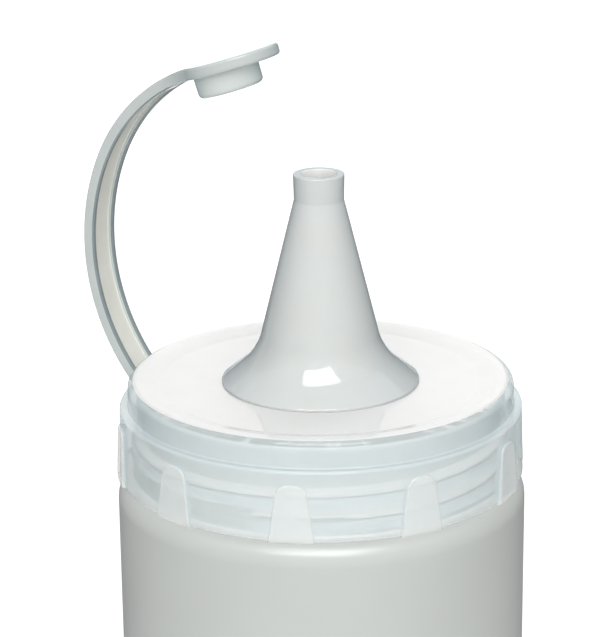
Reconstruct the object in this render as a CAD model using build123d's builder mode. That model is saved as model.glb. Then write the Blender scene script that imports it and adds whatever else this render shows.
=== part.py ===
from build123d import *
import os
from math import atan, cos, degrees, radians, sin, tan

# Squeeze sauce bottle: a blow-moulded body with a threaded neck, a screw cap with a cone spout, and a tip cap
# on a flexible strap. Millimetres, +Z up, origin in the middle of the face that the bottle stands on.
# The strap leaves the cap on the -X side and curves up in the XZ plane, open as it is for pouring.

# Bottle
body_diameter = 70.0
shoulder_height = 187.4
shoulder_rounding = 3.8
body_wall = 1.2
base_rounding = 5.0
standing_ring_width = 12.0
base_push_up = 2.5
shoulder_step = 4.4
neck_wall = 1.8
neck_length = 14.7
neck_root_rounding = 1.0
lip_rounding = 0.5

# Right-hand thread, outside the neck and inside the cap
thread_pitch = 4.0
thread_turns = 1.5
thread_height = 1.3
thread_root_width = 1.7
thread_crest_width = 0.7
thread_buried = 0.3
thread_ramp_length = 6.0
thread_below_lip = 5.2
thread_start_angle = -84.8
thread_flank_gap = 0.3
thread_crest_gap = 0.4

# Seal ring, between the lip and the cap
seal_thickness = 1.0
seal_overhang = 0.5

# Screw cap
disc_thickness = 1.5
disc_edge_rounding = 1.4
band_wall = 1.5
band_height = 4.5
band_clearance = 0.3
skirt_wall = 2.05
skirt_taper = 0.25
skirt_rounding = 0.5
cap_height = 16.6
ledge_thickness = 1.6
panel_to_neck_bore = 1.6
panel_depth = 0.8
panel_slope_width = 3.0

# Grip pads round the skirt
pad_count = 10
pad_height = 9.8
pad_bottom_width = 7.6
pad_top_width = 4.8
pad_corner_radius = 2.0
pad_proud_at_bottom = 0.5
pad_proud_at_top = 0.25

# Spout
spout_height = 36.2
tip_diameter = 8.6
tip_length = 4.4
tip_relief = 0.1
spout_bore_diameter = 6.1
cone_slope = 0.249
flare_radius = 9.2
flare_angle = 38.7
flange_diameter = 33.6
flange_edge_height = 0.4
flange_edge_rounding = 0.4
spout_wall = 1.35
stem_diameter = 21.0
stem_wall = 1.5
stem_clearance = 0.05
snap_bead_height = 1.6
snap_bead_width = 0.4

# Strap, a channel whose ribs stand on its inner face
strap_width = 7.35
strap_thickness = 2.0
strap_web = 1.1
strap_rib_width = 1.0
strap_root_depth = 1.25
strap_root_drop = 6.25
strap_lean_angle = 42.1
lower_bend_radius = 38.2
lower_bend_end_angle = 23.0
upper_bend_radius = 30.5
upper_bend_end_angle = 72.5
strap_segment_count = 9
strap_stub_length = 4.0

# Tip cap
tip_cap_diameter = 16.6
tip_cap_thickness = 2.0
tip_cap_edge_rounding = 0.5
tip_cap_reach = 5.2
tip_cap_offset = 1.5
tip_cap_skirt_height = 3.7
tip_cap_skirt_wall = 1.25
tip_cap_clearance = 0.12

# Heights and radii that follow from the sizes above
body_radius = body_diameter / 2
neck_radius = body_radius - shoulder_step
neck_bore_radius = neck_radius - neck_wall
lip_height = shoulder_height + neck_length
seal_top = lip_height + seal_thickness
disc_top = seal_top + disc_thickness
cap_bottom = disc_top - cap_height
ledge_top = disc_top - band_height
panel_radius = neck_bore_radius - panel_to_neck_bore
panel_top = disc_top - panel_depth
panel_underside = panel_top - disc_thickness
thread_length = thread_pitch * thread_turns
neck_thread_start = lip_height - thread_below_lip - thread_length
seal_radius = neck_radius + seal_overhang
band_inner_radius = seal_radius + band_clearance
band_outer_radius = band_inner_radius + band_wall
skirt_inner_radius = neck_radius + thread_height + thread_crest_gap
skirt_top_radius = skirt_inner_radius + skirt_wall
skirt_bottom_radius = skirt_top_radius + skirt_taper
spout_tip = panel_top + spout_height
tip_radius = tip_diameter / 2
stem_radius = stem_diameter / 2

os.makedirs("parts", exist_ok=True)


def finish(piece, name):
    """Labels a finished piece and writes it to its own file."""
    piece.label = name
    export_step(piece, f"parts/{name}.step")


def thread_ridge(root_radius, crest_radius, start_height):
    """A right-hand ridge on a wall at root_radius, with both its ends ramped down to that wall."""
    outward = 1 if crest_radius > root_radius else -1
    buried_radius = root_radius - thread_buried * outward
    flank_slope = (thread_root_width - thread_crest_width) / 2 / thread_height
    buried_width = thread_root_width + 2 * thread_buried * flank_slope
    ramp_angle = degrees(atan(thread_height / thread_ramp_length))
    with BuildPart() as ridge:
        with BuildLine():
            Helix(thread_pitch, thread_length, root_radius, center=(0, 0, start_height))
        with BuildSketch(Plane.XZ):
            with BuildLine():
                Polyline(
                    (buried_radius, start_height - buried_width / 2),
                    (crest_radius, start_height - thread_crest_width / 2),
                    (crest_radius, start_height + thread_crest_width / 2),
                    (buried_radius, start_height + buried_width / 2),
                    close=True,
                )
            make_face()
        sweep(is_frenet=True)
        for rise, turn, lean in ((0, 0, -ramp_angle), (thread_length, 360 * thread_turns, ramp_angle)):
            with Locations(Location((0, 0, start_height + rise), (0, 0, turn))):
                with Locations(Location((root_radius, 0, 0), (0, 0, lean * outward))):
                    Box(
                        4 * thread_height,
                        2 * thread_ramp_length,
                        1.2 * thread_root_width,
                        align=(Align.MIN if outward > 0 else Align.MAX, Align.CENTER, Align.CENTER),
                        mode=Mode.SUBTRACT,
                    )
    return ridge.part.rotate(Axis.Z, thread_start_angle)


# Bottle: one blown wall, with a push-up in the base so that it stands on a ring
standing_radius = body_radius - standing_ring_width
inner_radius = body_radius - body_wall
push_up_shape = (standing_radius * 0.55, base_push_up * 0.72)
neck_thread = thread_ridge(neck_radius, neck_radius + thread_height, neck_thread_start)

with BuildPart() as bottle:
    with BuildSketch(Plane.XZ):
        with BuildLine():
            FilletPolyline(
                (standing_radius, 0),
                (body_radius, 0),
                (body_radius, shoulder_height),
                (neck_radius, shoulder_height),
                (neck_radius, lip_height),
                (0, lip_height),
                radius=(base_rounding, shoulder_rounding, neck_root_rounding, lip_rounding),
            )
            Line((0, lip_height), (0, base_push_up))
            ThreePointArc((0, base_push_up), push_up_shape, (standing_radius, 0))
        make_face()
    revolve(axis=Axis.Z)
    with BuildSketch(Plane.XZ):
        with BuildLine():
            FilletPolyline(
                (standing_radius, body_wall),
                (inner_radius, body_wall),
                (inner_radius, shoulder_height - body_wall),
                (neck_bore_radius, shoulder_height - body_wall),
                (neck_bore_radius, lip_height),
                (0, lip_height),
                radius=(base_rounding - body_wall, shoulder_rounding - body_wall, neck_root_rounding, 0),
            )
            Line((0, lip_height), (0, base_push_up + body_wall))
            ThreePointArc(
                (0, base_push_up + body_wall),
                (push_up_shape[0], push_up_shape[1] + body_wall),
                (standing_radius, body_wall),
            )
        make_face()
    revolve(axis=Axis.Z, mode=Mode.SUBTRACT)
    add(neck_thread)

finish(bottle.part, "bottle")


# Seal ring: a flat ring that lies on the lip
with BuildPart() as seal_ring:
    with BuildSketch(Plane.XY.offset(lip_height)):
        Circle(seal_radius)
        Circle(neck_bore_radius, mode=Mode.SUBTRACT)
    extrude(amount=seal_thickness)

finish(seal_ring.part, "seal_ring")


# Strap: its centreline is two arcs, measured from the root. Each angle is the strap's lean from the vertical,
# below zero where it leans away from the bottle, and each centre is (distance from the bottle's axis, height).
def bend_centre(start, radius, angle):
    """Centre of a bend that starts at a point with a given lean."""
    return start[0] - radius * cos(radians(angle)), start[1] - radius * sin(radians(angle))


def on_bend(centre, radius, angle):
    """The point of a bend where the strap has a given lean."""
    return centre[0] + radius * cos(radians(angle)), centre[1] + radius * sin(radians(angle))


strap_root = (skirt_top_radius - strap_root_depth, disc_top - strap_root_drop)
lower_centre = bend_centre(strap_root, lower_bend_radius, -strap_lean_angle)
bend_change = on_bend(lower_centre, lower_bend_radius, lower_bend_end_angle)
upper_centre = bend_centre(bend_change, upper_bend_radius, lower_bend_end_angle)
lower_bend_length = lower_bend_radius * radians(lower_bend_end_angle + strap_lean_angle)
upper_bend_length = upper_bend_radius * radians(upper_bend_end_angle - lower_bend_end_angle)
strap_length = lower_bend_length + upper_bend_length


def strap_plane(length):
    """The plane across the strap at a length along it: x points away from the bottle, z to the free end."""
    if length < lower_bend_length:
        angle = -strap_lean_angle + degrees(length / lower_bend_radius)
        out, height = on_bend(lower_centre, lower_bend_radius, angle)
    else:
        angle = lower_bend_end_angle + degrees((length - lower_bend_length) / upper_bend_radius)
        out, height = on_bend(upper_centre, upper_bend_radius, angle)
    lean = radians(angle)
    return Plane(origin=(-out, 0, height), x_dir=(-cos(lean), 0, sin(lean)), z_dir=(sin(lean), 0, cos(lean)))


def strap_band(inner_offset, outer_offset, width):
    """A curved band along the whole strap, between two offsets from its centreline."""
    with BuildPart() as band:
        for centre, radius, start, end in (
            (lower_centre, lower_bend_radius, -strap_lean_angle, lower_bend_end_angle),
            (upper_centre, upper_bend_radius, lower_bend_end_angle, upper_bend_end_angle),
        ):
            middle = (-centre[0], centre[1])
            with BuildSketch(Plane.XZ):
                with BuildLine():
                    inner = CenterArc(middle, radius + inner_offset, 180 - start, start - end)
                    outer = CenterArc(middle, radius + outer_offset, 180 - start, start - end)
                    Line(inner @ 0, outer @ 0)
                    Line(inner @ 1, outer @ 1)
                make_face()
            extrude(amount=width / 2, both=True)
    return band.part


half_strap = strap_thickness / 2
groove_width = strap_width - 2 * strap_rib_width
strap_solid = strap_band(-half_strap, half_strap, strap_width)
strap_groove = strap_band(-2 * half_strap, half_strap - strap_web, groove_width)
segment_length = (strap_length - 2 * strap_stub_length) / strap_segment_count

for number in range(strap_segment_count):
    near_end = strap_stub_length + number * segment_length
    with BuildPart() as segment:
        add(strap_solid)
        add(strap_groove, mode=Mode.SUBTRACT)
        split(bisect_by=strap_plane(near_end), keep=Keep.TOP)
        split(bisect_by=strap_plane(near_end + segment_length), keep=Keep.BOTTOM)
    finish(segment.part, f"strap_segment_{number + 1}")


# Screw cap: a stepped shell with a recessed panel, grip pads, the inner thread and the strap's root
ridges_apart = thread_flank_gap + thread_root_width - (
    (thread_root_width - thread_crest_width) / 2 * (1 + thread_crest_gap / thread_height)
)
cap_thread = thread_ridge(
    skirt_inner_radius, skirt_inner_radius - thread_height, neck_thread_start - ridges_apart
)
pad_sunk_radius = skirt_inner_radius + skirt_wall / 2

with BuildPart() as grip_pad:
    with BuildSketch(Plane.YZ.offset(pad_sunk_radius)):
        with BuildLine():
            FilletPolyline(
                (-pad_bottom_width / 2, cap_bottom),
                (-pad_top_width / 2, cap_bottom + pad_height),
                (pad_top_width / 2, cap_bottom + pad_height),
                (pad_bottom_width / 2, cap_bottom),
                radius=pad_corner_radius,
            )
            Line((pad_bottom_width / 2, cap_bottom), (-pad_bottom_width / 2, cap_bottom))
        make_face()
    extrude(amount=skirt_wall)
    with BuildSketch(Plane.XZ):
        with BuildLine():
            Polyline(
                (0, cap_bottom),
                (skirt_bottom_radius + pad_proud_at_bottom, cap_bottom),
                (skirt_top_radius + pad_proud_at_top, cap_bottom + pad_height),
                (0, cap_bottom + pad_height),
                close=True,
            )
        make_face()
    revolve(axis=Axis.Z, mode=Mode.INTERSECT)

with BuildPart() as strap_stub:
    add(strap_solid)
    split(bisect_by=strap_plane(strap_stub_length), keep=Keep.BOTTOM)

with BuildPart() as screw_cap:
    with BuildSketch(Plane.XZ):
        with BuildLine():
            FilletPolyline(
                (0, panel_top),
                (panel_radius, panel_top),
                (panel_radius + panel_slope_width, disc_top),
                (band_outer_radius, disc_top),
                (band_outer_radius, ledge_top),
                (skirt_top_radius, ledge_top),
                (skirt_bottom_radius, cap_bottom),
                (skirt_inner_radius, cap_bottom),
                (skirt_inner_radius, ledge_top - ledge_thickness),
                (band_inner_radius, ledge_top - ledge_thickness),
                (band_inner_radius, seal_top),
                (panel_radius, seal_top),
                (panel_radius, panel_underside),
                (0, panel_underside),
                radius=(
                    0,
                    0,
                    disc_edge_rounding,
                    skirt_rounding / 2,
                    skirt_rounding,
                    skirt_rounding / 2,
                    skirt_rounding,
                    0,
                    0,
                    0,
                    0,
                    0,
                ),
            )
            Line((0, panel_underside), (0, panel_top))
        make_face()
    revolve(axis=Axis.Z)
    with PolarLocations(0, pad_count):
        add(grip_pad.part)
    add(strap_stub.part)
    add(cap_thread)
    with Locations((0, 0, panel_top)):
        Hole(radius=stem_radius + stem_clearance)

finish(screw_cap.part, "screw_cap")


# Spout: a hollow cone that flares into a flange, with a stem that snaps into the hole of the cap's panel
flange_radius = flange_diameter / 2
neck_foot = (tip_radius - tip_relief, spout_tip - tip_length)
cone_lean = degrees(atan(cone_slope))
flare_turn = 90 - flare_angle - cone_lean
flare_slope = tan(radians(flare_angle))
flare_reach = flare_radius * (cos(radians(cone_lean)) - cos(radians(cone_lean + flare_turn)))
flare_drop = flare_radius * (sin(radians(cone_lean + flare_turn)) - sin(radians(cone_lean)))

# The flare starts where the cone, the flare and a straight skirt after it meet the flange's edge at its height
straight_cone_radius = neck_foot[0] + cone_slope * (neck_foot[1] - panel_top)
skirt_reach = flange_radius - straight_cone_radius - flare_reach
cone_foot_height = (flange_edge_height + flare_drop + flare_slope * skirt_reach) / (1 - flare_slope * cone_slope)
cone_foot = (straight_cone_radius - cone_slope * cone_foot_height, panel_top + cone_foot_height)
flange_edge = (flange_radius, panel_top + flange_edge_height)
stem_bore_radius = stem_radius - stem_wall
bore_radius = spout_bore_diameter / 2
wall_across = spout_wall / cos(radians(cone_lean))
bore_foot_height = neck_foot[1] - (bore_radius + wall_across - neck_foot[0]) / cone_slope
cone_inside_height = neck_foot[1] - (stem_bore_radius + wall_across - neck_foot[0]) / cone_slope
bead_top = panel_underside - stem_clearance
bead_bottom = bead_top - snap_bead_height

with BuildPart() as spout:
    with BuildSketch(Plane.XZ):
        with BuildLine():
            Polyline((bore_radius, spout_tip), (tip_radius, spout_tip), neck_foot, cone_foot)
            flare = JernArc(cone_foot, (cone_slope, -1), flare_radius, flare_turn)
            FilletPolyline(
                flare @ 1,
                flange_edge,
                (flange_radius, panel_top),
                (stem_radius, panel_top),
                (stem_radius, bead_top),
                (stem_radius + snap_bead_width, bead_top),
                (stem_radius, bead_bottom),
                (stem_bore_radius, bead_bottom),
                (stem_bore_radius, cone_inside_height),
                (bore_radius, bore_foot_height),
                (bore_radius, spout_tip),
                radius=(flange_edge_rounding, 0, 0, 0, 0, 0, 0, 0, 0),
            )
        make_face()
    revolve(axis=Axis.Z)

finish(spout.part, "spout")


# Tip cap: a round plate that carries the strap's free end, with a skirt that fits over the spout's tip
strap_end = strap_plane(strap_length)
plate_plane = Plane(origin=strap_end.origin, x_dir=strap_end.z_dir, z_dir=strap_end.x_dir)
skirt_bore_radius = tip_radius + tip_cap_clearance
skirt_centre = tip_cap_reach - tip_cap_offset

with BuildPart() as strap_tail:
    add(strap_solid)
    split(bisect_by=strap_plane(strap_length - strap_stub_length), keep=Keep.TOP)

with BuildPart() as tip_cap_skirt:
    with BuildSketch(plate_plane.offset(-tip_cap_thickness / 2)):
        with Locations((skirt_centre, 0)):
            Circle(skirt_bore_radius + tip_cap_skirt_wall)
            Circle(skirt_bore_radius, mode=Mode.SUBTRACT)
    extrude(amount=-tip_cap_skirt_height)
    skirt_mouth = tip_cap_skirt.edges().group_by(Axis(plate_plane.origin, plate_plane.z_dir))[0]
    fillet(skirt_mouth, radius=tip_cap_edge_rounding)

with BuildPart() as tip_cap:
    with BuildSketch(plate_plane.offset(-tip_cap_thickness / 2)):
        with Locations((tip_cap_reach, 0)):
            Circle(tip_cap_diameter / 2)
    extrude(amount=tip_cap_thickness)
    fillet(tip_cap.edges().filter_by(GeomType.CIRCLE), radius=tip_cap_edge_rounding)
    add(strap_tail.part)
    add(tip_cap_skirt.part)

finish(tip_cap.part, "tip_cap")
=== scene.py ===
from math import asin, atan, ceil, copysign, cos, pi, radians, sin, tan

import bmesh
import bpy
from mathutils import Matrix, Vector


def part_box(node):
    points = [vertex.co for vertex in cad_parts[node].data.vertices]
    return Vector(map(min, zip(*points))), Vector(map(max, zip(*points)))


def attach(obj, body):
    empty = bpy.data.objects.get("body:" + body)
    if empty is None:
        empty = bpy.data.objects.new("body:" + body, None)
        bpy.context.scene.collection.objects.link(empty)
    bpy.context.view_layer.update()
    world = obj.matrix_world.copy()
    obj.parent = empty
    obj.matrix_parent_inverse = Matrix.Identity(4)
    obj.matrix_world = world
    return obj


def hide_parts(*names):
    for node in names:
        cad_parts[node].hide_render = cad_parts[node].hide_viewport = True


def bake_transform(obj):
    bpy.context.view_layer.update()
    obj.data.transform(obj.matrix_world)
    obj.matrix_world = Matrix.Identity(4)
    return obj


# A squeeze bottle for sauce: a milky blown body, a milky moulded screw cap with a cone spout, and a
# tip cap on a strap. Metres, +Z up, the bottle's axis on Z. The strap leaves the cap on the -X side.

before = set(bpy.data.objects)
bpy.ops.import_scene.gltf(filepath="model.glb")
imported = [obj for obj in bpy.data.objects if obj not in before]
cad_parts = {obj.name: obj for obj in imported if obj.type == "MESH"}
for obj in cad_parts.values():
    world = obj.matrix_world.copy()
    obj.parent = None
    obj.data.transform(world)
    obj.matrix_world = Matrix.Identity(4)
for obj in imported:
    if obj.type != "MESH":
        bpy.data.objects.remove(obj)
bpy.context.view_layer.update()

MM = 0.001

# Heights and radii read from the frame
bottle_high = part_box("bottle")[1]
seal_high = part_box("seal_ring")[1]
spout_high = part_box("spout")[1]
cap_low, cap_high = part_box("screw_cap")
body_radius = bottle_high.x
lip_height = bottle_high.z
seal_top = seal_high.z
seal_radius = seal_high.x
cap_bottom = cap_low.z
disc_top = cap_high.z
spout_tip = spout_high.z
flange_radius = spout_high.x

# Bottle
body_wall = 1.2 * MM
shoulder_height = 187.4 * MM
shoulder_rounding = 3.8 * MM
base_rounding = 5.0 * MM
standing_ring_width = 12.0 * MM
standing_ring_rounding = 2.0 * MM
base_push_up = 2.5 * MM
# The push-up's dome, in shares of the standing ring's radius and of the push-up's height
base_dome = ((0.3, 0.93), (0.55, 0.72), (0.8, 0.36))
neck_radius = body_radius - 4.4 * MM
neck_wall = 1.8 * MM
mouth_radius = neck_radius - neck_wall
body_inner_radius = body_radius - body_wall
neck_root_rounding = 1.0 * MM
lip_rounding = 0.5 * MM

# Thread
thread_pitch = 4.0 * MM
thread_turns = 1.5
thread_height = 1.3 * MM
thread_root_width = 1.7 * MM
thread_crest_width = 0.7 * MM
thread_crest_rounding = 0.2 * MM
thread_above_shoulder = 2.0 * MM
thread_buried = 0.3 * MM
thread_ramp_angle = radians(12)
thread_below_lip = 5.2 * MM
thread_start_angle = radians(-84.8)
thread_flank_gap = 0.3 * MM
thread_crest_gap = 0.4 * MM

# Screw cap
band_height = 4.5 * MM
band_wall = 1.5 * MM
band_inner_radius = seal_radius + 0.3 * MM
band_outer_radius = band_inner_radius + band_wall
skirt_inner_radius = neck_radius + thread_height + thread_crest_gap
skirt_top_radius = skirt_inner_radius + 2.05 * MM
skirt_bottom_radius = skirt_top_radius + 0.25 * MM
skirt_rounding = 0.5 * MM
skirt_edge_height = 0.4 * MM
ledge_rounding = 0.25 * MM
disc_edge_rounding = 1.4 * MM
disc_thickness = 1.5 * MM
ledge_thickness = 1.6 * MM
panel_radius = mouth_radius - 1.6 * MM
panel_depth = 0.8 * MM
panel_slope_width = 3.0 * MM
panel_slope_rounding = 0.8 * MM
inner_corner_rounding = 0.3 * MM

# Grip pads
pad_count = 10
pad_height = 9.8 * MM
pad_bottom_width = 7.6 * MM
pad_top_width = 4.8 * MM
pad_corner_radius = 2.0 * MM
pad_proud_at_bottom = 0.5 * MM
pad_proud_at_top = 0.25 * MM
pad_edge_rounding = 0.3 * MM
pad_sunk = 1.2 * MM
pad_slices = 12

# Spout
panel_top = disc_top - panel_depth
tip_radius = 4.3 * MM
tip_length = 4.4 * MM
tip_relief = 0.1 * MM
tip_edge_rounding = 0.15 * MM
neck_foot_rounding = 0.3 * MM
spout_bore_radius = 3.05 * MM
bore_foot_rounding = 1.0 * MM
cone_slope = 0.249
flare_radius = 9.2 * MM
flare_angle = radians(38.7)
flange_edge_height = 0.4 * MM
flange_edge_rounding = 0.35 * MM
spout_wall = 1.35 * MM
stem_radius = 10.5 * MM
stem_bore_radius = 9.0 * MM
stem_clearance = 0.05 * MM
snap_bead_height = 1.6 * MM
snap_bead_width = 0.4 * MM

# Strap, a channel whose ribs stand on its inner face
strap_width = 7.35 * MM
strap_thickness = 2.0 * MM
strap_web = 1.1 * MM
strap_rib_width = 1.0 * MM
strap_edge_rounding = 0.3 * MM
strap_groove_rounding = 0.15 * MM
strap_root = Vector((-(skirt_top_radius - 1.25 * MM), 0, disc_top - 6.25 * MM))
strap_lean = radians(42.1)
lower_bend_radius = 38.2 * MM
lower_bend_turn = radians(65.1)
upper_bend_radius = 30.5 * MM
upper_bend_turn = radians(49.5)
strap_stub_length = 4.0 * MM
strap_segment_count = 9
strap_step = 0.3 * MM
strap_end_gap = 1.0 * MM

# Tip cap
plate_radius = 8.3 * MM
plate_thickness = 2.0 * MM
plate_edge_rounding = 0.5 * MM
plate_reach = 5.2 * MM
plate_neck_curve = 12.0 * MM
plate_neck_length = 9.0 * MM
plate_neck_taper = 0.1 * MM
plate_neck_step = 1.0 * MM
socket_reach = 3.7 * MM
socket_radius = tip_radius + 0.12 * MM
socket_wall = 1.25 * MM
socket_depth = 3.7 * MM
socket_rounding = 0.9 * MM
socket_inner_rounding = 0.3 * MM
socket_sunk = 0.3 * MM

# Smoothness of round shapes, and how close two points are taken for one
TURN_STEPS = 180
ARC_STEP = radians(10)
PLATE_STEP = radians(4)
SHARP_ANGLE = radians(35)
MERGE_DISTANCE = 0.001 * MM
SLIVER_LENGTH = 0.0005 * MM
FLAT_FACE_WEIGHT = 60

# How far from a wall a face's middle lies at least when the face isn't part of that wall
OFF_WALL = 0.05 * MM

# The places of the further materials in the meshes of the strap and of the tip cap
WEB_INDEX = 1
RIB_TOP_INDEX = 2
SOCKET_INDEX = 1


def add_object(name, data):
    new_object = bpy.data.objects.new(name, data)
    bpy.context.scene.collection.objects.link(new_object)
    return new_object


def finished_mesh(bm, name, material):
    """Makes a mesh of a bmesh, which is then done with, and gives it its first material."""
    mesh = bpy.data.meshes.new(name)
    bm.to_mesh(mesh)
    bm.free()
    mesh.materials.append(material)
    return mesh


def new_piece(bm, name, material, body, slot, *nodes):
    """Turns a bmesh into a smooth-shaded piece that rides on a body and stands for its nodes."""
    bmesh.ops.remove_doubles(bm, verts=bm.verts, dist=MERGE_DISTANCE)
    bmesh.ops.dissolve_degenerate(bm, edges=bm.edges, dist=SLIVER_LENGTH)
    bmesh.ops.recalc_face_normals(bm, faces=bm.faces)
    mesh = finished_mesh(bm, name, material)
    mesh.shade_smooth()
    mesh.set_sharp_from_angle(angle=SHARP_ANGLE)
    piece = add_object(name, mesh)
    normals = piece.modifiers.new("flat faces stay flat", "WEIGHTED_NORMAL")
    normals.keep_sharp = True
    normals.weight = FLAT_FACE_WEIGHT
    if body:
        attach(piece, body)
    if nodes:
        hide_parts(*nodes)
    return piece


def finish_faces(piece, material, chosen):
    """Gives a material to the faces whose distance from the bottle's axis and height are chosen."""
    piece.data.materials.append(material)
    for face in piece.data.polygons:
        if chosen(face.center.xy.length, face.center.z):
            face.material_index = len(piece.data.materials) - 1


def verts_of(geometry):
    return [item for item in geometry if isinstance(item, bmesh.types.BMVert)]


def outline(bm, corners, closed=True):
    """Draws a wire in the XZ plane. Each corner is (distance from the axis, height, rounding)."""
    verts = [bm.verts.new((x, 0, z)) for x, z, rounding in corners]
    followers = verts[1:] + verts[:1] if closed else verts[1:]
    for vert, follower in zip(verts, followers):
        bm.edges.new((vert, follower))
    for vert, (x, z, rounding) in zip(verts, corners):
        if rounding:
            to_last, to_next = (edge.other_vert(vert).co - vert.co for edge in vert.link_edges)
            turn = pi - to_last.angle(to_next)
            bmesh.ops.bevel(
                bm,
                geom=[vert],
                offset=rounding * tan(turn / 2),
                offset_type="OFFSET",
                segments=max(3, ceil(turn / ARC_STEP)),
                profile=0.5,
                affect="VERTICES",
                material=-1,
            )


def turned(bm):
    """Turns every wire of a bmesh about the Z axis into a closed round shape."""
    bmesh.ops.spin(
        bm,
        geom=bm.verts[:] + bm.edges[:],
        cent=(0, 0, 0),
        axis=(0, 0, 1),
        angle=2 * pi,
        steps=TURN_STEPS,
        use_merge=True,
    )


def add_mesh_of(bm, other):
    """Adds a copy of another bmesh's shape, which is then done with."""
    mesh = bpy.data.meshes.new("part of a piece")
    other.to_mesh(mesh)
    other.free()
    bm.from_mesh(mesh)
    bpy.data.meshes.remove(mesh)


def thread_ridge(root_radius, crest_radius, start_height):
    """A right-hand ridge on a wall at root_radius, whose ends sink into that wall."""
    outward = copysign(1, crest_radius - root_radius)
    buried_radius = root_radius - thread_buried * outward
    flank_slope = (thread_root_width - thread_crest_width) / 2 / thread_height
    buried_width = thread_root_width + 2 * thread_buried * flank_slope
    bm = bmesh.new()
    outline(
        bm,
        [
            (buried_radius, start_height - buried_width / 2, 0),
            (crest_radius, start_height - thread_crest_width / 2, thread_crest_rounding),
            (crest_radius, start_height + thread_crest_width / 2, thread_crest_rounding),
            (buried_radius, start_height + buried_width / 2, 0),
        ],
    )
    profile = bmesh.ops.contextual_create(bm, geom=bm.edges[:])["faces"]
    steps = ceil(TURN_STEPS * thread_turns)
    turn = 2 * pi * thread_turns
    bmesh.ops.spin(
        bm,
        geom=profile,
        cent=(0, 0, 0),
        axis=(0, 0, 1),
        dvec=(0, 0, thread_pitch * thread_turns / steps),
        angle=turn,
        steps=steps,
    )
    for vert in bm.verts:
        radius = vert.co.xy.length
        rise = vert.co.z - start_height
        along = turn * min(max(rise / (thread_pitch * thread_turns), 0), 1)
        share = min(1, min(along, turn - along) / thread_ramp_angle)
        sunk = buried_radius + (radius - buried_radius) * share * share * (3 - 2 * share)
        vert.co.xy *= sunk / radius
    to_start = Matrix.Rotation(thread_start_angle, 3, "Z")
    bmesh.ops.rotate(bm, verts=bm.verts, cent=(0, 0, 0), matrix=to_start)
    return bm


def skirt_wall(height):
    """The radius of the cap's tapered skirt at a height."""
    rise = (height - cap_bottom) / (disc_top - cap_bottom)
    return skirt_bottom_radius + (skirt_top_radius - skirt_bottom_radius) * rise


def grip_pad():
    """One raised pad on +X, sunk into the skirt: wider at the bottom and rounded at its top corners."""
    bm = bmesh.new()
    outline(
        bm,
        [
            (-pad_bottom_width / 2, cap_bottom, 0),
            (-pad_top_width / 2, cap_bottom + pad_height, pad_corner_radius),
            (pad_top_width / 2, cap_bottom + pad_height, pad_corner_radius),
            (pad_bottom_width / 2, cap_bottom, 0),
        ],
    )
    front = bmesh.ops.contextual_create(bm, geom=bm.edges[:])["faces"]
    back = bmesh.ops.extrude_face_region(bm, geom=front, use_keep_orig=True)["geom"]
    bmesh.ops.translate(bm, verts=verts_of(back), vec=(0, pad_sunk, 0))
    bmesh.ops.recalc_face_normals(bm, faces=bm.faces)
    rim = [edge for edge in bm.edges if all(vert.co.y < pad_sunk / 2 for vert in edge.verts)]
    bmesh.ops.bevel(
        bm,
        geom=rim,
        offset=pad_edge_rounding,
        segments=3,
        profile=0.5,
        affect="EDGES",
        material=-1,
    )
    for number in range(1, pad_slices):
        place = pad_bottom_width * (number / pad_slices - 0.5)
        bmesh.ops.bisect_plane(
            bm,
            geom=bm.verts[:] + bm.edges[:] + bm.faces[:],
            plane_co=(place, 0, 0),
            plane_no=(1, 0, 0),
        )
    for vert in bm.verts:
        across, depth, height = vert.co
        rise = (height - cap_bottom) / pad_height
        proud = pad_proud_at_bottom + (pad_proud_at_top - pad_proud_at_bottom) * rise
        turn = across / skirt_bottom_radius
        radius = skirt_wall(height) + proud - depth
        vert.co = (radius * cos(turn), radius * sin(turn), height)
    return bm


# Bottle: outside from the push-up in its base to the lip, then the inside back down
standing_radius = body_radius - standing_ring_width
dome = [(standing_radius * out, base_push_up * up) for out, up in base_dome]
bottle_mesh = bmesh.new()
outline(
    bottle_mesh,
    [
        (0, base_push_up, 0),
        *[(radius, height, 0) for radius, height in dome],
        (standing_radius, 0, standing_ring_rounding),
        (body_radius, 0, base_rounding),
        (body_radius, shoulder_height, shoulder_rounding),
        (neck_radius, shoulder_height, neck_root_rounding),
        (neck_radius, lip_height, lip_rounding),
        (mouth_radius, lip_height, lip_rounding),
        (mouth_radius, shoulder_height - body_wall, neck_root_rounding),
        (body_inner_radius, shoulder_height - body_wall, shoulder_rounding - body_wall),
        (body_inner_radius, body_wall, base_rounding - body_wall),
        (standing_radius, body_wall, standing_ring_rounding),
        *[(radius, height + body_wall, 0) for radius, height in reversed(dome)],
        (0, base_push_up + body_wall, 0),
    ],
    closed=False,
)
turned(bottle_mesh)
neck_thread_start = lip_height - thread_below_lip - thread_pitch * thread_turns
neck_thread = thread_ridge(neck_radius, neck_radius + thread_height, neck_thread_start)
add_mesh_of(bottle_mesh, neck_thread)

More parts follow.
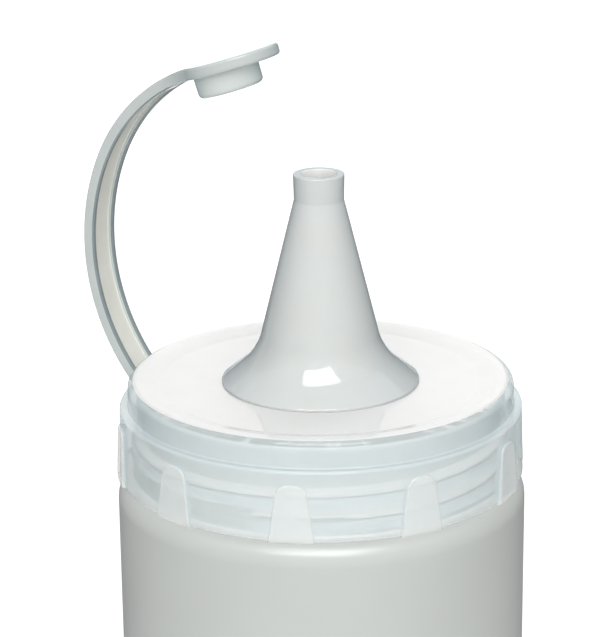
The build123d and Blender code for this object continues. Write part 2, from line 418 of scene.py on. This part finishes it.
# Screw cap: outside from the hole in its panel down to the skirt's edge, then the inside back up
cap_hole_radius = stem_radius + stem_clearance
ledge_top = disc_top - band_height
flank_width = (thread_root_width - thread_crest_width) / 2
flank_overlap = flank_width * (1 + thread_crest_gap / thread_height)
ridges_apart = thread_flank_gap + thread_root_width - flank_overlap
cap_mesh = bmesh.new()
outline(
    cap_mesh,
    [
        (cap_hole_radius, panel_top, 0),
        (panel_radius, panel_top, panel_slope_rounding),
        (panel_radius + panel_slope_width, disc_top, panel_slope_rounding),
        (band_outer_radius, disc_top, disc_edge_rounding),
        (band_outer_radius, ledge_top, ledge_rounding),
        (skirt_top_radius, ledge_top, skirt_rounding),
        (skirt_bottom_radius, cap_bottom, skirt_rounding),
        (skirt_inner_radius, cap_bottom, skirt_rounding),
        (skirt_inner_radius, ledge_top - ledge_thickness, inner_corner_rounding),
        (band_inner_radius, ledge_top - ledge_thickness, inner_corner_rounding),
        (band_inner_radius, seal_top, inner_corner_rounding),
        (panel_radius, seal_top, inner_corner_rounding),
        (panel_radius, panel_top - disc_thickness, inner_corner_rounding),
        (cap_hole_radius, panel_top - disc_thickness, 0),
    ],
)
turned(cap_mesh)
for number in range(pad_count):
    pad = grip_pad()
    turn = Matrix.Rotation(2 * pi * number / pad_count, 3, "Z")
    bmesh.ops.rotate(pad, verts=pad.verts, cent=(0, 0, 0), matrix=turn)
    add_mesh_of(cap_mesh, pad)
cap_thread = thread_ridge(
    skirt_inner_radius,
    skirt_inner_radius - thread_height,
    neck_thread_start - ridges_apart,
)
add_mesh_of(cap_mesh, cap_thread)

# Spout: outside from the tip down to the flange and the stem, then the bore back up
neck_foot_radius = tip_radius - tip_relief
neck_foot_height = spout_tip - tip_length
cone_lean = atan(cone_slope)
flare_turn = pi / 2 - flare_angle - cone_lean
flare_reach = flare_radius * (cos(cone_lean) - cos(cone_lean + flare_turn))
flare_drop = flare_radius * (sin(cone_lean + flare_turn) - sin(cone_lean))
straight_cone_radius = neck_foot_radius + cone_slope * (neck_foot_height - panel_top)
skirt_reach = flange_radius - straight_cone_radius - flare_reach
flare_slope = tan(flare_angle)
foot_rise = flange_edge_height + flare_drop + flare_slope * skirt_reach
cone_foot_height = foot_rise / (1 - flare_slope * cone_slope)
cone_foot_radius = straight_cone_radius - cone_slope * cone_foot_height
corner_drop = flare_radius * tan(flare_turn / 2) * cos(cone_lean)
corner_radius = cone_foot_radius + corner_drop * cone_slope
corner_height = panel_top + cone_foot_height - corner_drop
wall_across = spout_wall / cos(cone_lean)
inside_start = neck_foot_radius - wall_across
bore_foot_height = neck_foot_height - (spout_bore_radius - inside_start) / cone_slope
cone_inside_height = neck_foot_height - (stem_bore_radius - inside_start) / cone_slope
bead_top = panel_top - disc_thickness - stem_clearance
bead_bottom = bead_top - snap_bead_height
spout_mesh = bmesh.new()
outline(
    spout_mesh,
    [
        (spout_bore_radius, spout_tip, tip_edge_rounding),
        (tip_radius, spout_tip, tip_edge_rounding),
        (neck_foot_radius, neck_foot_height, neck_foot_rounding),
        (corner_radius, corner_height, flare_radius),
        (flange_radius, panel_top + flange_edge_height, flange_edge_rounding),
        (flange_radius, panel_top, 0),
        (stem_radius, panel_top, 0),
        (stem_radius, bead_top, 0),
        (stem_radius + snap_bead_width, bead_top, 0),
        (stem_radius, bead_bottom, 0),
        (stem_bore_radius, bead_bottom, 0),
        (stem_bore_radius, cone_inside_height, 0),
        (spout_bore_radius, bore_foot_height, bore_foot_rounding),
    ],
)
turned(spout_mesh)

# Strap: two bends, whose centres are worked out from the root upwards
lower_centre = strap_root + lower_bend_radius * Vector((cos(strap_lean), 0, sin(strap_lean)))
upper_start = lower_bend_turn - strap_lean
bend_change = lower_centre + lower_bend_radius * Vector((-cos(upper_start), 0, sin(upper_start)))
upper_centre = bend_change + upper_bend_radius * Vector((cos(upper_start), 0, -sin(upper_start)))
lower_bend_length = lower_bend_radius * lower_bend_turn
strap_length = lower_bend_length + upper_bend_radius * upper_bend_turn
segment_length = (strap_length - 2 * strap_stub_length) / strap_segment_count


def strap_place(length):
    """The strap's place at a length along it: X away from the bottle, and Z to the free end."""
    if length < lower_bend_length:
        centre = lower_centre
        radius = lower_bend_radius
        lean = length / radius - strap_lean
    else:
        centre = upper_centre
        radius = upper_bend_radius
        lean = (length - lower_bend_length) / radius + upper_start
    return (
        Matrix.Translation(centre)
        @ Matrix.Rotation(lean, 4, "Y")
        @ Matrix.Translation((-radius, 0, 0))
        @ Matrix.Rotation(pi, 4, "Z")
    )


def strap_run(start, end):
    """A stretch of the strap between two lengths along it, with both its ends closed."""
    half = strap_thickness / 2
    side = strap_width / 2
    rib = side - strap_rib_width
    bm = bmesh.new()
    outline(
        bm,
        [
            (half, -side, strap_edge_rounding),
            (half, side, strap_edge_rounding),
            (-half, side, strap_edge_rounding),
            (-half, rib, strap_edge_rounding),
            (half - strap_web, rib, strap_groove_rounding),
            (half - strap_web, -rib, strap_groove_rounding),
            (-half, -rib, strap_edge_rounding),
            (-half, -side, strap_edge_rounding),
        ],
    )
    last = bmesh.ops.contextual_create(bm, geom=bm.edges[:])["faces"]
    groove_floor = half - strap_web + strap_groove_rounding
    rib_top = strap_edge_rounding - half
    place = strap_place(start) @ Matrix.Rotation(pi / 2, 4, "X")
    bmesh.ops.transform(bm, matrix=place, verts=bm.verts)
    for centre, radius, near, far in (
        (lower_centre, lower_bend_radius, start, min(end, lower_bend_length)),
        (upper_centre, upper_bend_radius, max(start, lower_bend_length), end),
    ):
        if far > near:
            known = set(bm.faces)
            last = bmesh.ops.spin(
                bm,
                geom=last,
                cent=centre,
                axis=(0, 1, 0),
                angle=(far - near) / radius,
                steps=ceil((far - near) / strap_step),
            )["geom_last"]
            for face in set(bm.faces) - known:
                middle = face.calc_center_median()
                offset = (Vector((middle.x, 0, middle.z)) - centre).length - radius
                # The channel's floor is marked for the paler colour that is painted light
                if offset < groove_floor and abs(middle.y) < rib:
                    face.material_index = WEB_INDEX
                # The ribs' tops are marked for the dark colour that is painted shade
                if offset < rib_top:
                    face.material_index = RIB_TOP_INDEX
    return bm


def tip_cap_shape():
    """The round plate that runs into the strap, and the socket that fits over the spout's tip.

    They are drawn on a flat plate, X through its thickness and Z away from the strap. Then the plate's
    neck, which tapers a little to stay inside the strap, follows the strap's bend.
    """
    side = strap_width / 2
    from_centre = plate_radius + plate_neck_curve
    curve_reach = (from_centre**2 - (side + plate_neck_curve) ** 2) ** 0.5
    curve_start = plate_reach - curve_reach
    curve_turn = asin(curve_reach / from_centre)
    bm = bmesh.new()
    near = bm.verts.new((0, plate_neck_taper - side, -plate_neck_length))
    last = bm.verts.new((0, -side, curve_start))
    bm.edges.new((near, last))
    for centre, turn in (
        ((0, -side - plate_neck_curve, curve_start), curve_turn),
        ((0, 0, plate_reach), -pi - 2 * curve_turn),
        ((0, side + plate_neck_curve, curve_start), curve_turn),
    ):
        arc = bmesh.ops.spin(
            bm,
            geom=[last],
            cent=centre,
            axis=(1, 0, 0),
            angle=turn,
            steps=ceil(abs(turn) / PLATE_STEP),
        )
        last = verts_of(arc["geom_last"])[0]
    far = bm.verts.new((0, side - plate_neck_taper, -plate_neck_length))
    bm.edges.new((last, far))
    bm.edges.new((far, near))
    top = bmesh.ops.contextual_create(bm, geom=bm.edges[:])["faces"]
    below = bmesh.ops.extrude_face_region(bm, geom=top, use_keep_orig=True)["geom"]
    bmesh.ops.translate(bm, verts=bm.verts, vec=(plate_thickness / 2, 0, 0))
    bmesh.ops.translate(bm, verts=verts_of(below), vec=(-plate_thickness, 0, 0))
    bmesh.ops.recalc_face_normals(bm, faces=bm.faces)
    rims = [edge for edge in bm.edges if edge.verts[0].co.x * edge.verts[1].co.x > 0]
    bmesh.ops.bevel(
        bm,
        geom=rims,
        offset=plate_edge_rounding,
        segments=4,
        profile=0.5,
        affect="EDGES",
        material=-1,
    )
    for number in range(ceil(plate_neck_length / plate_neck_step)):
        bmesh.ops.bisect_plane(
            bm,
            geom=bm.verts[:] + bm.edges[:] + bm.faces[:],
            plane_co=(0, 0, -number * plate_neck_step),
            plane_no=(0, 0, 1),
        )
    socket = bmesh.new()
    outline(
        socket,
        [
            (socket_radius, socket_sunk, 0),
            (socket_radius, -socket_depth, socket_inner_rounding),
            (socket_radius + socket_wall, -socket_depth, socket_rounding),
            (socket_radius + socket_wall, socket_sunk, 0),
        ],
    )
    turned(socket)
    under_plate = Matrix.Translation((-plate_thickness / 2, 0, socket_reach))
    place = under_plate @ Matrix.Rotation(pi / 2, 4, "Y")
    bmesh.ops.transform(socket, matrix=place, verts=socket.verts)
    for face in socket.faces:
        face.material_index = SOCKET_INDEX
    add_mesh_of(bm, socket)
    thinning = plate_neck_taper / (plate_thickness / 2) / plate_neck_length
    for vert in bm.verts:
        across, sideways, along = vert.co
        behind = min(along, 0)
        flat = Vector((across * (1 + thinning * behind), sideways, max(along, 0)))
        vert.co = strap_place(strap_length + behind) @ flat
    return bm


# Materials. The skin's IOR is low, so that it tints the plastic's edges more than it mirrors.
PLASTIC_IOR = 1.51
SKIN_IOR = 1.1
SKIN_ROUGHNESS = 0.03
RIPPLE_STRENGTH = 0.1
RIPPLE_DEPTH = 0.1 * MM
RIPPLE_DETAIL = 2
CLOUD_EDGES = (0.35, 0.65)
CLOUD_DETAIL = 3


def linear(hex_colour):
    """An sRGB hex colour as a linear RGBA colour."""
    channels = [int(hex_colour[place : place + 2], 16) / 255 for place in (1, 3, 5)]
    return tuple(c / 12.92 if c <= 0.04045 else ((c + 0.055) / 1.055) ** 2.4 for c in channels) + (1,)


def add_node(owner, kind, inputs=None, **settings):
    """Adds a node with its settings, and with values or links for its inputs."""
    node = owner.node_tree.nodes.new(kind)
    for name, value in settings.items():
        setattr(node, name, value)
    for name, value in (inputs or {}).items():
        if isinstance(value, bpy.types.NodeSocket):
            owner.node_tree.links.new(value, node.inputs[name])
        else:
            node.inputs[name].default_value = value
    return node


def bare_nodes(owner):
    """Empties the node tree of a new material or world."""
    owner.use_nodes = True
    owner.node_tree.nodes.clear()
    return owner


def seen_white(owner):
    """One for the rays that see the white background: camera, glossy and transmission rays."""
    path = add_node(owner, "ShaderNodeLightPath")
    seen = path.outputs["Is Camera Ray"]
    for kind in ("Is Glossy Ray", "Is Transmission Ray"):
        values = {0: seen, 1: path.outputs[kind]}
        seen = add_node(owner, "ShaderNodeMath", values, operation="MAXIMUM").outputs[0]
    return seen


def milky_plastic(
    name,
    colour,
    cloud_colour,
    roughness,
    alpha=1.0,
    depth=0.0,
    skin=None,
    cloud_size=6 * MM,
    ripple_size=2 * MM,
):
    """Unpigmented polyethylene: a milky colour with faint clouds, and shallow ripples in its surface.

    Alpha is how much it hides what is behind it, depth is how far light goes into it, and skin is the
    tint of its clearer skin.
    """
    material = bare_nodes(bpy.data.materials.new(name))
    place = add_node(material, "ShaderNodeTexCoord").outputs["Object"]
    clouds = add_node(
        material,
        "ShaderNodeTexNoise",
        {"Vector": place, "Scale": 1 / cloud_size, "Detail": CLOUD_DETAIL, "Roughness": 0.5},
    )
    ramp = add_node(material, "ShaderNodeValToRGB", {"Fac": clouds.outputs["Fac"]})
    shades = zip(ramp.color_ramp.elements, CLOUD_EDGES, (colour, cloud_colour))
    for element, position, shade in shades:
        element.position = position
        element.color = linear(shade)
    ripples = add_node(
        material,
        "ShaderNodeTexNoise",
        {"Vector": place, "Scale": 1 / ripple_size, "Detail": RIPPLE_DETAIL},
    )
    bump = add_node(
        material,
        "ShaderNodeBump",
        {
            "Height": ripples.outputs["Fac"],
            "Strength": RIPPLE_STRENGTH,
            "Distance": RIPPLE_DEPTH,
        },
    )
    shader = add_node(
        material,
        "ShaderNodeBsdfPrincipled",
        {
            "Base Color": ramp.outputs["Color"],
            "Roughness": roughness,
            "IOR": PLASTIC_IOR,
            "Alpha": alpha,
            "Subsurface Weight": 1.0 if depth else 0.0,
            "Subsurface Radius": (1.0, 1.0, 1.0),
            "Subsurface Scale": depth,
            "Coat Weight": 1.0 if skin else 0.0,
            "Coat IOR": SKIN_IOR,
            "Coat Roughness": SKIN_ROUGHNESS,
            "Coat Tint": linear(skin or "#ffffff"),
            "Coat Normal": bump.outputs["Normal"],
            "Normal": bump.outputs["Normal"],
        },
    )
    add_node(material, "ShaderNodeOutputMaterial", {"Surface": shader.outputs["BSDF"]})
    return material


# Every material is polyethylene without pigment. Its crystals and flow marks, under 0.2 mm, are too
# fine to see, so the clouds (6 mm) and ripples (2 mm) drawn here are coarser than the real ones, and
# very faint.

# The squeeze body, blown against a finely blasted mould: the satin surface spreads its highlights
# into soft vertical bands. Clouds of 25 mm and ripples of 5 mm stand for its uneven thickness.
blown_polyethylene = milky_plastic(
    "blown_polyethylene", "#d1d5d2", "#d5d9d6", 0.28, cloud_size=25 * MM, ripple_size=5 * MM
)

# The cap's rim and skirt, injected into a polished mould and 1.5 to 2 mm thick: milky and glossy,
# half of what lies behind it shows through. The cold mould leaves a clearer skin, which tints its
# edges faintly blue.
moulded_cap_polyethylene = milky_plastic(
    "moulded_cap_polyethylene", "#e9f0f0", "#eef4f4", 0.07, alpha=0.5, skin="#f5fafc"
)

# The skirt's inner wall, the far side of the same plastic: nearly clear, so that the wall's milk is
# seen only once
clear_cap_polyethylene = milky_plastic(
    "clear_cap_polyethylene", "#f6fbfc", "#fafdfd", 0.07, alpha=0.05
)

# The threads on the neck and in the cap and the skirt's lower edge: a paler colour that is painted
# light. It stands for the highlights on the thread crests and the glow along the skirt's edge, and
# shows through the skirt as pale bands and lines.
painted_highlight_polyethylene = milky_plastic("painted_highlight_polyethylene", "#f0f1ef", "#f4f5f3", 0.07)

# The grip pads, moulded on the skirt's own wall: whiter, and less shows through the two together
pad_polyethylene = milky_plastic("pad_polyethylene", "#f2f4f0", "#f5f7f3", 0.12, alpha=0.45)

# The disc, moulded against a mirror face and backed by the white seal: nearly white and opaque, it
# mirrors the cone
thick_cap_polyethylene = milky_plastic(
    "thick_cap_polyethylene", "#fafbf9", "#fcfcfb", 0.04, alpha=0.95
)

# The spout, a moulding of its own in a warmer white with a polished surface: light goes 0.3 mm into
# it, which softens its shading, and its clear skin turns the sides of the cone a cool grey
moulded_spout_polyethylene = milky_plastic(
    "moulded_spout_polyethylene", "#fef4ee", "#fff6f1", 0.05, depth=0.3 * MM, skin="#e9edf0"
)

# The spout's bore, the same plastic as the core pin leaves it, less glossy. Its paler, cooler colour is
# painted light: it stands for the light that comes through the thin wall, so that the mouth looks
# nearly as pale as the outside instead of shaded.
bore_painted_light_polyethylene = milky_plastic("bore_painted_light_polyethylene", "#f8f8f6", "#fafaf9", 0.2)

# The strap and the tip cap's plate, moulded in one with the cap: thin and stretched by bending,
# which leaves them a soft grey-white with a cool gloss on their edges
moulded_strap_polyethylene = milky_plastic(
    "moulded_strap_polyethylene", "#dadbd6", "#dedfda", 0.08, skin="#f2f8fb"
)

# The tip cap's socket, a thin wall round a hollow. Its colour, paler and warmer than the plate's, is
# painted light that stands for the light coming through the wall; its clear skin greys its sides.
socket_painted_light_polyethylene = milky_plastic(
    "socket_painted_light_polyethylene", "#f6f5ee", "#f8f7f1", 0.08, skin="#ecf3f7"
)

# The floor of the strap's channel, 1.1 mm thin. Its palest, warmest colour is painted light that stands
# for the light shining through it from behind.
web_painted_light_polyethylene = milky_plastic("web_painted_light_polyethylene", "#f2f3ea", "#f6f7ef", 0.1)

# The tops of the strap's ribs, clear narrow edges seen along the rib. Their dark blue-grey is painted
# shade for the dark edges that the clear plastic shows there: dark lines on both sides of the channel.
rib_top_painted_shade = milky_plastic("rib_top_painted_shade", "#8b979b", "#96a1a4", 0.1)

# The seal ring, punched from foamed sheet: matt white with cells, drawn at 0.5 mm because the real
# 0.2 mm ones are too fine to see
polyethylene_foam = milky_plastic(
    "polyethylene_foam", "#e4e4df", "#efefec", 0.7, cloud_size=0.5 * MM
)

# Bottle piece. Its thread gets a paler colour, a painted highlight that shows through the skirt.
bottle_body = new_piece(
    bottle_mesh, "bottle_body", blown_polyethylene, "bottle", "bottle_plastic", "bottle"
)
thread_wall = neck_radius + 2 * OFF_WALL
thread_floor = shoulder_height + thread_above_shoulder
finish_faces(
    bottle_body,
    painted_highlight_polyethylene,
    lambda radius, height: radius > thread_wall and height > thread_floor,
)

# Cap piece. Light reaches the neck through the milky cap, so the cap casts no shadow and takes no
# part in bounced light.
cap_shell = new_piece(
    cap_mesh, "cap_shell", moulded_cap_polyethylene, "screw_cap", "cap_plastic", "screw_cap"
)
cap_shell.visible_shadow = False
cap_shell.visible_diffuse = False
inner_wall = skirt_inner_radius + OFF_WALL
ridge_wall = skirt_inner_radius - 2 * OFF_WALL
skirt_roof = ledge_top - ledge_thickness - 2 * OFF_WALL
skirt_edge = cap_bottom + skirt_edge_height
rim_top = disc_top - 2 * OFF_WALL
slope_end = panel_radius + panel_slope_width
finish_faces(
    cap_shell,
    clear_cap_polyethylene,
    lambda radius, height: radius < inner_wall and height < skirt_roof,
)
# The cap's thread and the skirt's lower edge get the paler colour that is a painted highlight
finish_faces(
    cap_shell,
    painted_highlight_polyethylene,
    lambda radius, height: (radius < ridge_wall and height < skirt_roof) or height < skirt_edge,
)
finish_faces(
    cap_shell,
    pad_polyethylene,
    lambda radius, height: radius > skirt_wall(height) + OFF_WALL,
)
finish_faces(
    cap_shell,
    thick_cap_polyethylene,
    lambda radius, height: height > rim_top or (radius < slope_end and height > seal_top),
)

# Spout and tip cap pieces
cone_spout = new_piece(
    spout_mesh, "cone_spout", moulded_spout_polyethylene, "screw_cap", "spout_plastic", "spout"
)
# The bore's faces get the paler colour that is painted light in place of their shade
bore_wall = spout_bore_radius + OFF_WALL
finish_faces(cone_spout, bore_painted_light_polyethylene, lambda radius, height: radius < bore_wall)
tip_cap_plate = new_piece(
    tip_cap_shape(), "tip_cap_plate", moulded_strap_polyethylene, None, "strap_plastic", "tip_cap"
)
# The socket's second material is paler with painted light
tip_cap_plate.data.materials.append(socket_painted_light_polyethylene)

# Strap pieces, from the middle of one segment to the middle of the next, so that each spans the hinge
# between them. The last one runs to the tip cap, and the places of both are baked into their meshes.
segments = [f"strap_segment_{number + 1}" for number in range(strap_segment_count)]
middles = [
    strap_stub_length + segment_length * (number + 0.5) for number in range(strap_segment_count)
]
stations = [0, *middles, strap_length - strap_end_gap]
for number, (start, end) in enumerate(zip(stations, stations[1:])):
    nodes = segments[number : number + 1]
    piece = new_piece(
        strap_run(start, end),
        f"strap_{number + 1}",
        moulded_strap_polyethylene,
        None,
        "strap_plastic",
        *nodes,
    )
    # The channel's floor gets the paler colour that is painted light
    piece.data.materials.append(web_painted_light_polyethylene)
    # The ribs' tops get the dark colour that is painted shade
    piece.data.materials.append(rib_top_painted_shade)
    for bent in [piece] if nodes else [piece, tip_cap_plate]:
        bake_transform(bent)

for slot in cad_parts["seal_ring"].material_slots:
    slot.material = polyethylene_foam

# The photograph's view: 19 degrees above the cap, turned 26 degrees away from the strap. Tilt, pan
# and roll put the bottle where it stands in the picture.
camera_target = Vector((0, 0, disc_top))
camera_distance = 0.430
camera_lens = 142.5
camera_azimuth = radians(26.2)
camera_elevation = radians(19.01)
camera_roll = radians(-0.5)
camera_tilt = radians(1.28)
camera_pan = radians(0.51)
toward = Vector((sin(camera_azimuth), -cos(camera_azimuth), 0))
upward = Vector((0, 0, 1))
to_camera = cos(camera_elevation) * toward + sin(camera_elevation) * upward

# Floor, light and background. The floor reaches so far that it is behind the whole object in a view
# from low down too.
floor_radius = 30
floor_steps = 96
floor_colour = "#aaaaaa"
floor_glow = 0.8
screen_radius = 0.3
screen_height = 0.4
screen_opening = radians(24)
screen_steps = 64
screen_glow = 0.15
softbox_distance = 0.7
softbox_elevation = radians(61.2)
softbox_turn = radians(-12)
softbox_size = (0.493, 0.415)
softbox_power = 4.7
base_light = 0.18
front_light = 3.5
front_falloff = 4
top_light = 0.75
top_falloff = 2


def looking_at(target, direction, distance):
    """The place of a camera or lamp that looks at a target from a direction."""
    turn = direction.to_track_quat("Z", "Y").to_matrix().to_4x4()
    return Matrix.Translation(target + distance * direction) @ turn


# A matt pale floor, lifted to white for the rays that see it
white_floor = bare_nodes(bpy.data.materials.new("white_floor"))
matte = add_node(white_floor, "ShaderNodeBsdfDiffuse", {"Color": linear(floor_colour)})
glow = add_node(
    white_floor, "ShaderNodeEmission", {"Color": (1, 1, 1, 1), "Strength": floor_glow}
)
both = add_node(white_floor, "ShaderNodeAddShader", {0: matte.outputs[0], 1: glow.outputs[0]})
choice = add_node(
    white_floor,
    "ShaderNodeMixShader",
    {0: seen_white(white_floor), 1: matte.outputs[0], 2: both.outputs[0]},
)
add_node(white_floor, "ShaderNodeOutputMaterial", {"Surface": choice.outputs[0]})
floor_mesh = bmesh.new()
bmesh.ops.create_circle(floor_mesh, cap_ends=True, segments=floor_steps, radius=floor_radius)
floor = add_object("floor", finished_mesh(floor_mesh, "floor", white_floor))

# The world is white to look at. Its light comes from the front and back and from above and below,
# so that round pieces darken at their sides.
world = bare_nodes(bpy.data.worlds.new("studio"))
bpy.context.scene.world = world
direction = add_node(world, "ShaderNodeTexCoord").outputs["Generated"]
studio_light = base_light
for axis, falloff, light in (
    (toward, front_falloff, front_light),
    (upward, top_falloff, top_light),
):
    facing = add_node(
        world, "ShaderNodeVectorMath", {0: direction, 1: axis}, operation="DOT_PRODUCT"
    ).outputs["Value"]
    for operation, values in (
        ("ABSOLUTE", {}),
        ("POWER", {1: falloff}),
        ("MULTIPLY_ADD", {1: light, 2: studio_light}),
    ):
        values = {0: facing, **values}
        facing = add_node(world, "ShaderNodeMath", values, operation=operation).outputs[0]
    studio_light = facing
strength = add_node(
    world,
    "ShaderNodeMapRange",
    {"Value": seen_white(world), "To Min": studio_light, "To Max": 1.0},
)
sky = add_node(
    world,
    "ShaderNodeBackground",
    {"Color": (1, 1, 1, 1), "Strength": strength.outputs["Result"]},
)
add_node(world, "ShaderNodeOutputWorld", {"Surface": sky.outputs[0]})

camera_data = bpy.data.cameras.new("camera")
camera_data.lens = camera_lens
camera_data.sensor_width = 36
camera_data.clip_start = 0.01
camera = add_object("camera", camera_data)
camera.matrix_world = (
    looking_at(camera_target, to_camera, camera_distance)
    @ Matrix.Rotation(camera_roll, 4, "Z")
    @ Matrix.Rotation(camera_tilt, 4, "X")
    @ Matrix.Rotation(camera_pan, 4, "Y")
)
bpy.context.scene.camera = camera

# The softbox is seen only in gloss: it gives the window-shaped highlight on the spout's flare
softbox_data = bpy.data.lights.new("softbox", "AREA")
softbox_data.shape = "RECTANGLE"
softbox_data.size, softbox_data.size_y = softbox_size
softbox_data.energy = softbox_power
softbox = add_object("softbox", softbox_data)
softbox.visible_camera = False
softbox.visible_diffuse = False
softbox_facing = cos(softbox_elevation) * toward + sin(softbox_elevation) * upward
softbox.matrix_world = looking_at(
    camera_target, softbox_facing, softbox_distance
) @ Matrix.Rotation(softbox_turn, 4, "Z")

# A dim screen round the object, open behind it and seen only in its gloss, which draws the white
# plastic's edges
dim_screen = bare_nodes(bpy.data.materials.new("dim_screen"))
screen_light = add_node(
    dim_screen, "ShaderNodeEmission", {"Color": (1, 1, 1, 1), "Strength": screen_glow}
)
add_node(dim_screen, "ShaderNodeOutputMaterial", {"Surface": screen_light.outputs[0]})
screen_mesh = bmesh.new()
post = bmesh.ops.create_vert(screen_mesh, co=-screen_radius * toward)["vert"][0]
to_opening = Matrix.Rotation(screen_opening / 2, 3, "Z")
bmesh.ops.rotate(screen_mesh, verts=[post], cent=(0, 0, 0), matrix=to_opening)
bmesh.ops.spin(
    screen_mesh,
    geom=[post],
    cent=(0, 0, 0),
    axis=(0, 0, 1),
    angle=2 * pi - screen_opening,
    steps=screen_steps,
)
lift = bmesh.ops.extrude_edge_only(screen_mesh, edges=screen_mesh.edges[:])["geom"]
bmesh.ops.translate(screen_mesh, verts=verts_of(lift), vec=(0, 0, screen_height))
screen = add_object("dim_screen", finished_mesh(screen_mesh, "dim_screen", dim_screen))
screen.visible_camera = False
screen.visible_diffuse = False
screen.visible_shadow = False

bpy.context.scene.view_settings.view_transform = "Standard"
